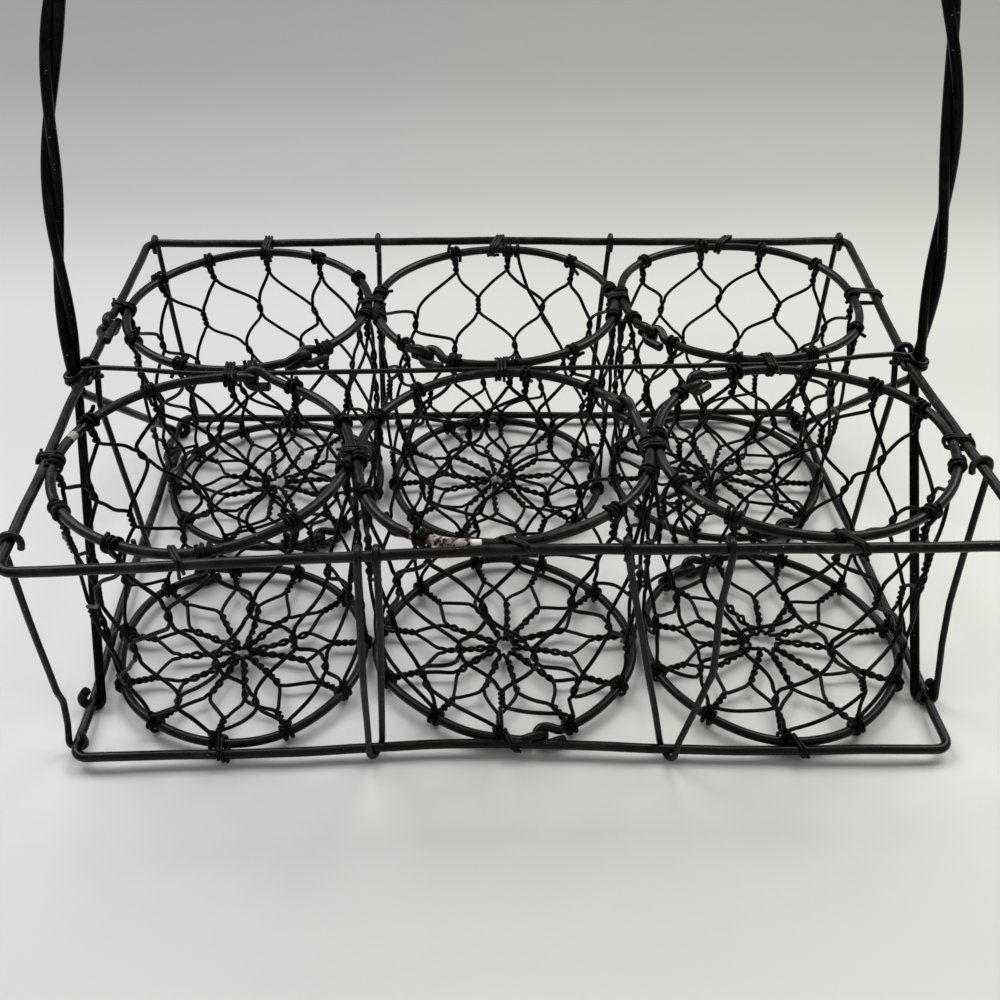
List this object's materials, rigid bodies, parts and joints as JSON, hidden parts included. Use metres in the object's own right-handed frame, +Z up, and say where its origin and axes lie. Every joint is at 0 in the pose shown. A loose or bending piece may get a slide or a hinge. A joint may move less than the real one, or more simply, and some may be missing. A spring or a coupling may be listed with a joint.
{
  "type": "wire plant caddy",
  "caption": "Wire caddy for small plant pots: round baskets of hexagonal netting in a rectangular wire frame, carried by a tall arched handle of twisted wire.",
  "frame": {"origin": "on the ground plane, under the middle of the caddy's overall box", "axes": "+X along the caddy's length, the way the handle arches; -Y is the front, the side with the two bent struts; +Z up"},
  "size_m": [0.3304, 0.2242, 0.336],
  "materials": {
    "frame_paint": "black paint on steel wire, satin, worn at the front rail",
    "handle_paint": "black paint on twisted steel wire, smooth and slightly glossy",
    "net_paint": "black to dark brown paint on thin netting wire, dull",
    "tie_paint": "dark grey tie wire, dull"
  },
  "bodies": {
    "root": {"top_rail": "frame_paint", "bottom_rail": "frame_paint", "cross_wire": "frame_paint", "top_ring_front_left": "frame_paint", "top_ring_front_middle": "frame_paint", "top_ring_front_right": "frame_paint", "top_ring_back_left": "frame_paint", "top_ring_back_middle": "frame_paint", "top_ring_back_right": "frame_paint", "floor_ring_front_left": "frame_paint", "floor_ring_front_middle": "frame_paint", "floor_ring_front_right": "frame_paint", "floor_ring_back_left": "frame_paint", "floor_ring_back_middle": "frame_paint", "floor_ring_back_right": "frame_paint", "post_front_left": "frame_paint", "post_front_right": "frame_paint", "post_back_left": "frame_paint", "post_back_right": "frame_paint", "post_side_left": "frame_paint", "post_side_right": "frame_paint", "strut_back_left": "frame_paint", "strut_back_right": "frame_paint", "strut_front_left": "frame_paint", "strut_front_right": "frame_paint", "handle_strand_front": "handle_paint", "handle_strand_back": "handle_paint", "side_net_front_left": "net_paint", "side_net_front_middle": "net_paint", "side_net_front_right": "net_paint", "side_net_back_left": "net_paint", "side_net_back_middle": "net_paint", "side_net_back_right": "net_paint", "floor_net_front_left": "net_paint", "floor_net_front_middle": "net_paint", "floor_net_front_right": "net_paint", "floor_net_back_left": "net_paint", "floor_net_back_middle": "net_paint", "floor_net_back_right": "net_paint", "tie_front_left": "tie_paint", "tie_front_middle": "tie_paint", "tie_front_right": "tie_paint", "tie_back_left": "tie_paint", "tie_back_middle": "tie_paint", "tie_back_right": "tie_paint", "tie_row_left": "tie_paint", "tie_row_middle": "tie_paint", "tie_row_right": "tie_paint", "tie_floor_left": "tie_paint", "tie_floor_middle": "tie_paint", "tie_floor_right": "tie_paint", "tie_rings_front_left": "tie_paint", "tie_rings_front_right": "tie_paint", "tie_rings_back_left": "tie_paint", "tie_rings_back_right": "tie_paint", "tie_side_front_left": "tie_paint", "tie_side_front_right": "tie_paint", "tie_side_back_left": "tie_paint", "tie_side_back_right": "tie_paint"}
  },
  "joints": []
}
